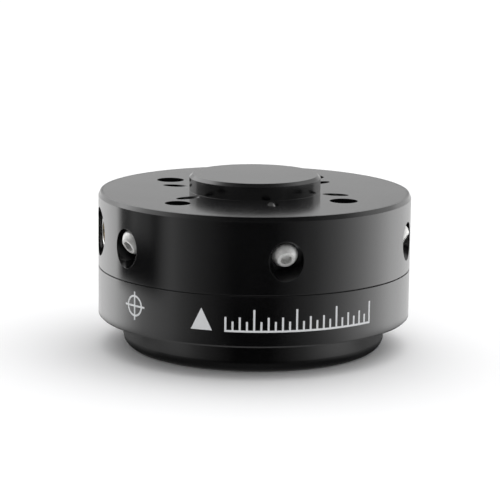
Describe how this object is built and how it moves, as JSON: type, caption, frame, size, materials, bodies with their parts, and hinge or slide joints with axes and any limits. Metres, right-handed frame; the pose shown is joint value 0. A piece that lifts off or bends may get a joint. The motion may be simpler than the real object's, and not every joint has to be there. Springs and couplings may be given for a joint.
{
  "type": "force torque sensor",
  "caption": "Round force torque sensor with a centring boss, a split black housing with tilted clamp screws, a cable connector and a tool flange.",
  "frame": {"origin": "centre of the tool face, at the bottom of the part", "axes": "+Z along the sensor axis towards the robot, front towards -Y, cable connector towards -X"},
  "size_m": [0.075, 0.075, 0.0415],
  "materials": {
    "black_anodised": "satin black hard anodised aluminium",
    "milled_aluminium": "milled bare aluminium",
    "stainless_steel": "bright stainless steel",
    "black_steel": "black oxide steel",
    "ground_steel": "hardened and ground steel",
    "gauge_foil": "foil gauge on amber backing",
    "flex_film": "amber flexible circuit film",
    "white_plastic": "natural moulded plastic",
    "board_green": "green solder mask on glass laminate",
    "chip_black": "black moulded package",
    "capacitor_tan": "ceramic body",
    "seal_rubber": "black elastomer",
    "nickel_plate": "nickel plated brass",
    "insert_black": "black glass filled plastic",
    "contact_gold": "gold plated contact",
    "wire_sheath": "red insulated wire"
  },
  "bodies": {
    "root": {"coupling_plate": "black_anodised", "housing_ring": "black_anodised", "cover_ring": "black_anodised", "tool_flange": "black_anodised", "spring_element": "milled_aluminium", "clamp_screws": "stainless_steel", "cover_screws": "black_steel", "rim_screws": "black_steel", "hub_screws": "black_steel", "stop_pins": "ground_steel", "strain_gauges": "gauge_foil", "flex_circuit": "flex_film", "flex_socket": "white_plastic", "main_board": "board_green", "board_screws": "stainless_steel", "processor": "chip_black", "converter_chips": "chip_black", "driver_chips": "chip_black", "capacitors": "capacitor_tan", "wire_header": "white_plastic", "split_seal": "seal_rubber", "gap_seal": "seal_rubber", "connector_shell": "nickel_plate", "connector_insert": "insert_black", "contact_pins": "contact_gold", "connector_nut": "nickel_plate", "connector_seal": "seal_rubber", "lead_wires": "wire_sheath"}
  },
  "joints": []
}
